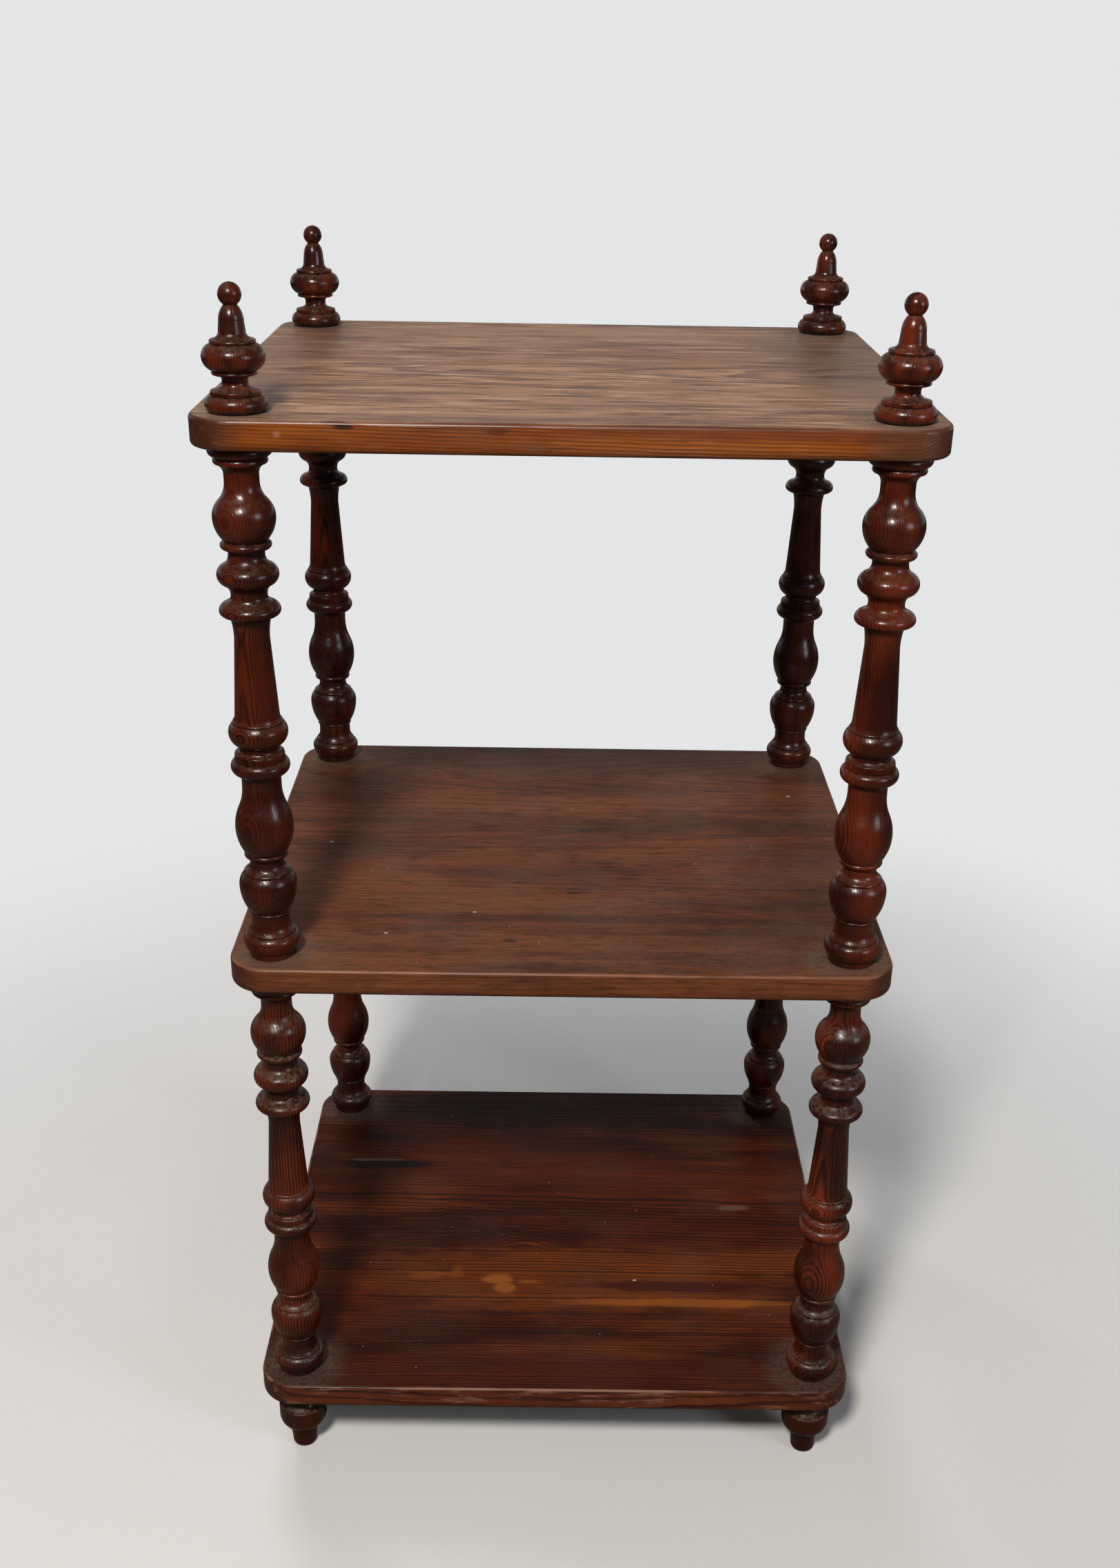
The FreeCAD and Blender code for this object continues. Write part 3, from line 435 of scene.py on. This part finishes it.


# The keys of a look:
# - top and edge: light and dark, the two tones of the ground; ring, the tone of late wood, bands,
#   streaks and fibres; bright, the tone of bright streaks. edge_figure is how much of the bands and
#   streaks shows on the edges.
# - logs: what the boards were sawn from. pith is where its heart lies: Y, and the height over the
#   shelf's surface.
# - bands, streaks, bright_streaks, smudges, chips, flecks, haze, corner_dust, glow_strength and
#   wear_strength: how strong each is, up to 1. glow, smudge, chip, dust, wear and end, the end
#   grain, are colours.
# - ring_strength: of the growth rings, where they are faint and where they are bold. bumps are
#   where they swell round hidden knots.
# - streak_scale and streak_length: how fine the streaks are, and how many times longer than wide.
# - rubbed: the range of a noise over which an arris goes from whole to worn.
# - zones lie under the growth rings, marks over them, and front_marks on the front edge. Some zones are
#   painted shadow, and one is painted light.
# - roughness and gloss are the shader's, and bump is how high the relief of the grain is.
SHELF_LOOKS = dict(
    bottom=dict(
        seed=37.0,
        top=dict(light=(0.108, 0.017, 0.003), dark=(0.045, 0.007, 0.0025),
                 ring=(0.008, 0.0020, 0.0016), bright=(0.170, 0.042, 0.012)),
        edge=dict(light=(0.150, 0.036, 0.015), dark=(0.090, 0.020, 0.010),
                  ring=(0.025, 0.007, 0.005), bright=(0.190, 0.055, 0.025)),
        edge_figure=0.7,
        glow=(0.220, 0.048, 0.009),
        glow_strength=0.60,
        smudge=(0.010, 0.005, 0.005),
        smudges=0.38,
        end=(0.040, 0.010, 0.007),
        logs=dict(
            front=dict(pith=(0.090, -0.125), spacing=0.0029, seed=7.3, wander=0.007, ripple=0.0015,
                       late_from=0.50),
            back=dict(pith=(0.230, -0.110), spacing=0.0024, seed=8.8, ripple=0.0009, late_from=0.45),
        ),
        bumps=(swelling(-30, -10, 38, 34, 4.5), swelling(-92, 14, 26, 18, 3.0)),
        ring_strength=(0.62, 1.0),
        bands=0.25,
        streaks=0.22,
        bright_streaks=0.30,
        streak_scale=230.0,
        streak_length=14.0,
        zones=(
            mark(10, -85, 240, 60, (0.185, 0.040, 0.006), 0.75, ragged=0.5),
            mark(110, -92, 125, 10, (0.060, 0.007, 0.004), 0.90, ragged=0.6),
            # Painted shadow: the back of the bottom shelf is dark and bluish, where the middle shelf shades
            # it.
            mark(0, 195, 300, 60, (0.012, 0.006, 0.007), 0.8),
            mark(0, -205, 260, 32, (0.080, 0.017, 0.010), 0.5),
        ),
        marks=(
            mark(-118, -80, 24, 7, (0.220, 0.058, 0.010), 0.65, ragged=0.7),
            mark(-92, -76, 10, 11, (0.220, 0.058, 0.010), 0.60, ragged=0.7),
            mark(-54, -84, 19, 8, (0.300, 0.090, 0.013), 0.85, ragged=0.7),
            mark(-45, -96, 12, 9, (0.300, 0.090, 0.013), 0.85, ragged=0.7),
            mark(-26, -88, 14, 4, (0.260, 0.072, 0.012), 0.70, ragged=0.7),
            mark(105, -114, 125, 8, (0.290, 0.078, 0.011), 0.85, ragged=0.5),
            mark(-175, 90, 60, 9, (0.007, 0.004, 0.004), 0.9, ragged=0.6),
            mark(-185, 97, 40, 3, (0.160, 0.125, 0.105), 0.6, ragged=0.6),
            speck(73, -84, 0.9),
            mark(0, -130, 220, 3, (0.022, 0.006, 0.004), 0.6, ragged=0.6),
            mark(30, -155, 220, 3, (0.022, 0.006, 0.004), 0.6, ragged=0.6),
            mark(175, 25, 22, 5, (0.170, 0.110, 0.085), 0.45, ragged=0.6),
        ),
        front_marks=(),
        haze=0.10,
        corner_dust=0.60,
        dust=(0.105, 0.080, 0.063),
        wear=(0.300, 0.150, 0.090),
        wear_strength=0.75,
        rubbed=(0.47, 0.60),
        chips=0.50,
        chip=(0.300, 0.150, 0.105),
        flecks=0.40,
        roughness=0.36,
        bump=0.00012,
        gloss=0.28,
    ),
    middle=dict(
        seed=23.0,
        top=dict(light=(0.200, 0.065, 0.025), dark=(0.100, 0.031, 0.014),
                 ring=(0.022, 0.008, 0.005), bright=(0.280, 0.100, 0.042)),
        edge=dict(light=(0.195, 0.058, 0.021), dark=(0.122, 0.036, 0.014),
                  ring=(0.026, 0.008, 0.005), bright=(0.255, 0.087, 0.035)),
        edge_figure=0.8,
        glow=(0.200, 0.048, 0.018),
        glow_strength=0.50,
        smudge=(0.022, 0.012, 0.009),
        smudges=0.50,
        end=(0.055, 0.014, 0.008),
        logs=dict(
            front=dict(pith=(0.040, -0.200), spacing=0.0020, seed=4.1, wander=0.008),
            back=dict(pith=(0.160, -0.130), spacing=0.0022, seed=5.7, wander=0.007, tilt=(0.02, 0.03)),
        ),
        bumps=(),
        ring_strength=(0.15, 0.50),
        bands=0.35,
        streaks=0.55,
        bright_streaks=0.28,
        streak_scale=270.0,
        streak_length=6.0,
        zones=(
            mark(0, -137, 230, 10, (0.040, 0.016, 0.010), 0.5),
            mark(80, 122, 115, 20, (0.060, 0.022, 0.014), 0.4),
            # Painted shadow: the back of the middle shelf is darker, where the top shelf shades it.
            mark(0, 200, 320, 60, (0.050, 0.024, 0.020), 0.6),
            mark(195, 0, 70, 280, (0.070, 0.025, 0.015), 0.4),
            mark(-60, -60, 90, 60, (0.200, 0.055, 0.020), 0.4),
        ),
        marks=(
            knot(20, 30, 9, 4),
            knot(-35, -75, 8, 3),
            knot(10, -92, 8, 3),
            knot(-40, -175, 8, 4),
            speck(-70, -128, 0.8),
            speck(-137, -165, 0.8),
            speck(-200, 0, 0.8),
            speck(210, 112, 0.8),
        ),
        front_marks=(),
        haze=0.30,
        corner_dust=0.70,
        dust=(0.135, 0.095, 0.070),
        wear=(0.280, 0.110, 0.050),
        wear_strength=0.70,
        rubbed=(0.36, 0.60),
        chips=0.15,
        chip=(0.240, 0.110, 0.060),
        flecks=0.45,
        roughness=0.40,
        bump=0.00010,
        gloss=0.35,
    ),
    top=dict(
        seed=11.0,
        top=dict(light=(0.520, 0.290, 0.165), dark=(0.370, 0.195, 0.115),
                 ring=(0.105, 0.050, 0.034), bright=(0.760, 0.510, 0.335)),
        edge=dict(light=(0.310, 0.075, 0.006), dark=(0.180, 0.036, 0.004),
                  ring=(0.025, 0.005, 0.002), bright=(0.380, 0.110, 0.010)),
        edge_figure=0.35,
        glow=(0.420, 0.180, 0.090),
        glow_strength=0.45,
        smudge=(0.105, 0.060, 0.045),
        smudges=0.30,
        end=(0.070, 0.015, 0.006),
        logs=dict(
            front=dict(pith=(-0.030, -0.190), spacing=0.0014, seed=1.3, wander=0.007, tilt=(0.03, 0.01)),
            back=dict(pith=(0.260, -0.090), spacing=0.0018, seed=2.9),
        ),
        bumps=(),
        ring_strength=(0.40, 0.85),
        bands=0.55,
        streaks=0.90,
        bright_streaks=0.90,
        streak_scale=200.0,
        streak_length=10.0,
        zones=(
            mark(-215, 20, 45, 260, (0.150, 0.085, 0.060), 0.45),
            mark(215, 40, 75, 260, (0.150, 0.098, 0.076), 0.60),
            # Painted light: the back of the top shelf is paler, as if it were lit from behind and caught a
            # sheen.
            mark(0, 175, 230, 40, (0.560, 0.330, 0.210), 0.45),
            mark(-60, -212, 240, 20, (0.200, 0.120, 0.085), 0.45),
        ),
        marks=(
            mark(110, 86, 100, 3, (0.120, 0.060, 0.040), 0.40),
            speck(35, 64, 0.9),
            speck(125, -45, 0.9),
        ),
        front_marks=(
            mark(-147, 3.5, 10, 2.6, (0.020, 0.004, 0.002), 0.95, ragged=0.6),
            mark(-152, 1.5, 14, 1.5, (0.030, 0.007, 0.003), 0.80, ragged=0.5),
            mark(-190, 9, 5, 3.5, (0.360, 0.180, 0.120), 0.45, ragged=0.7),
            mark(-48, 5, 9, 3.0, (0.060, 0.012, 0.004), 0.60, ragged=0.6),
            mark(0, 1.5, 260, 2.2, (0.070, 0.012, 0.005), 0.55, ragged=0.5),
            mark(130, 4, 190, 7, (0.120, 0.026, 0.011), 0.60, ragged=0.4),
            mark(250, 10, 75, 40, (0.080, 0.030, 0.017), 0.75, ragged=0.3),
            mark(-250, 10, 45, 40, (0.045, 0.016, 0.007), 0.80, ragged=0.3),
        ),
        haze=0.20,
        corner_dust=0.75,
        dust=(0.130, 0.098, 0.076),
        wear=(0.075, 0.014, 0.005),
        wear_strength=0.75,
        rubbed=(0.30, 0.60),
        chips=0.10,
        chip=(0.300, 0.150, 0.080),
        flecks=0.25,
        roughness=0.36,
        bump=0.00010,
        gloss=0.45,
    ),
)

# ---------------------------------------------------------------- what sets the turned pieces apart
KIND_LOOKS = dict(
    post_upper=dict(dust=0.32, spacing=0.0017),
    post_lower=dict(dust=0.70, spacing=0.0023, warmth=1.4),
    finial=dict(dust=0.50, spacing=0.0019, figure=(0.30, 0.85), mottle=80.0, dark_from=0.34),
    foot=dict(dust=0.85, spacing=0.0022, warmth=0.6, gloss=0.3),
)
# A piece's place in this list gives its seed, so the order stays as it is. pith_angle follows the
# photograph on the upper and the front lower posts, and is a guess on the other pieces.
PIECE_LOOKS = dict(
    post_upper_front_left=dict(pith_angle=237.0, warmth=0.8, figure=(0.50, 0.90)),
    post_upper_front_right=dict(pith_angle=2.0, warmth=1.35, figure=(0.45, 0.85)),
    post_upper_back_left=dict(pith_angle=262.0, warmth=1.45, figure=(0.60, 1.0)),
    post_upper_back_right=dict(pith_angle=185.0),
    post_lower_front_left=dict(pith_angle=8.0, figure=(0.65, 1.0), wander=0.010),
    post_lower_front_right=dict(pith_angle=235.0, warmth=1.75, figure=(0.55, 0.95)),
    post_lower_back_left=dict(pith_angle=352.0),
    post_lower_back_right=dict(pith_angle=30.0),
    finial_front_left=dict(pith_angle=15.0),
    finial_front_right=dict(pith_angle=300.0, warmth=1.25, dark_from=0.38),
    finial_back_left=dict(pith_angle=275.0),
    finial_back_right=dict(pith_angle=200.0, warmth=1.1),
    foot_front_left=dict(pith_angle=10.0),
    foot_front_right=dict(pith_angle=350.0),
    foot_back_left=dict(pith_angle=100.0),
    foot_back_right=dict(pith_angle=40.0),
)
SEED_STEP = 3.1


# ---------------------------------------------------------------- put the materials on the frame
def dress(node, material):
    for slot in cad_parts[node].material_slots:
        slot.material = material


for shelf, look in SHELF_LOOKS.items():
    for board in ("front", "back"):
        dress(f"shelf_{shelf}_board_{board}", shelf_wood(f"{shelf}_{board}", shelf, board, look))

for number, (node, piece_look) in enumerate(PIECE_LOOKS.items()):
    kind = next(kind for kind in KIND_LOOKS if node.startswith(kind))
    corner = node.removeprefix(f"{kind}_")
    look = {**KIND_LOOKS[kind], **piece_look}
    dress(node, turned_wood(node, column_axis(corner), number * SEED_STEP, **look))


# ---------------------------------------------------------------- floor, light and camera
PALE = (0.78, 0.785, 0.79)
FLOOR_LIGHT = (0.84, 0.84, 0.84)
FLOOR_DARK = (0.82, 0.82, 0.82)
FLOOR_BOUNCE = (0.22, 0.18, 0.14)    # the floor as the object sees it
ROOM_GLOW = (0.080, 0.071, 0.062)
BACKDROP_GLOW = (0.68, 0.68, 0.68)
PHOTO_WIDTH, PHOTO_HEIGHT = 1624, 2273


def make_floor():
    """A pale floor that fades, away from the object, into the pale background. What it throws back
    onto the object is no more than a mid-toned floor would."""
    half = 12.0
    fade_from, fade_to = 0.4, 1.3
    data = bpy.data.meshes.new("floor")
    corners = [(-half, -half, 0), (half, -half, 0), (half, half, 0), (-half, half, 0)]
    data.from_pydata(corners, [], [(0, 1, 2, 3)])
    floor = bpy.data.objects.new("floor", data)
    bpy.context.scene.collection.objects.link(floor)

    paint = Tree(bpy.data.materials.new("floor_paint"))
    place = paint.node("ShaderNodeTexCoord").outputs["Object"]
    x, y, _ = paint.split(place)
    clouds = paint.noise(place, 3.0, detail=3.0)
    colour = paint.tint(FLOOR_LIGHT, FLOOR_DARK, clouds, 0.3, 0.7)
    near = paint.surface(colour, roughness=0.9, gloss=0.1)
    seen = paint.mix_surfaces(paint.ramp(paint.distance(x, y), fade_from, fade_to), near, paint.light(PALE))
    bounce = paint.surface(FLOOR_BOUNCE, roughness=0.9, gloss=0.1)
    floor.data.materials.append(paint.finish(paint.mix_surfaces(paint.by_camera(), bounce, seen)))


def make_world():
    """A dim room whose glow is paler behind the object and fades upwards. The camera sees it pale
    all round."""
    room = Tree(bpy.data.worlds.new("studio"))
    _, back, up = room.split(room.node("ShaderNodeTexCoord").outputs["Generated"])
    backdrop = room.times(room.ramp(back, 0.1, 0.8), room.ramp(up, 0.45, 0.05))
    glow = room.mix(backdrop, ROOM_GLOW, BACKDROP_GLOW)
    shown = room.step("ShaderNodeBackground", room.mix(room.by_camera(), glow, PALE))
    bpy.context.scene.world = room.finish(shown, "ShaderNodeOutputWorld")


def make_camera():
    """A camera at the photograph's place: turned by yaw, tipped by pitch, then rolled."""
    place = Vector((-0.0090, -1.3093, 1.1111))
    yaw, pitch, roll = (math.radians(angle) for angle in (0.349, -25.088, 0.935))
    focal_pixels = 2418.7
    centre_x, centre_y = 813.5, 1216.0    # where the lens axis meets the photograph, in its pixels
    sensor = 36.0

    forward = Vector((math.sin(yaw) * math.cos(pitch), math.cos(yaw) * math.cos(pitch), math.sin(pitch)))
    level = Vector((math.cos(yaw), -math.sin(yaw), 0.0))
    upright = level.cross(forward)
    right = level * math.cos(roll) + upright * math.sin(roll)
    up = upright * math.cos(roll) - level * math.sin(roll)
    data = bpy.data.cameras.new("photo_camera")
    data.sensor_width = sensor
    data.lens = focal_pixels / PHOTO_HEIGHT * sensor
    data.shift_x = (PHOTO_WIDTH / 2 - centre_x) / PHOTO_HEIGHT
    data.shift_y = (centre_y - PHOTO_HEIGHT / 2) / PHOTO_HEIGHT
    camera = bpy.data.objects.new("photo_camera", data)
    turn = Matrix((right, up, -forward)).transposed()
    camera.matrix_world = Matrix.Translation(place) @ turn.to_4x4()
    bpy.context.scene.collection.objects.link(camera)
    bpy.context.scene.camera = camera


def area_light(name, place, aim_height, size, power, colour, glare=True):
    """A round lamp that aims at a height on the object's middle line. Without glare it doesn't show
    in reflections."""
    data = bpy.data.lights.new(name, "AREA")
    data.shape = "DISK"
    data.size = size
    data.energy = power
    data.color = colour
    light = bpy.data.objects.new(name, data)
    light.location = place
    towards = Vector((0.0, 0.0, aim_height)) - Vector(place)
    light.rotation_euler = towards.to_track_quat("-Z", "Y").to_euler()
    light.visible_glossy = glare
    bpy.context.scene.collection.objects.link(light)


make_floor()
make_world()
make_camera()
area_light("key", (-0.45, -1.85, 2.30), 0.45, size=0.40, power=55.0, colour=(1.0, 0.94, 0.86))
area_light("back", (-0.9, 1.9, 1.9), 0.5, size=1.2, power=24.0, colour=(0.97, 0.98, 1.0), glare=False)
area_light("window", (1.9, -1.5, 1.35), 0.5, size=0.8, power=12.0, colour=(0.86, 0.93, 1.0))
bpy.context.scene.view_settings.view_transform = "Standard"
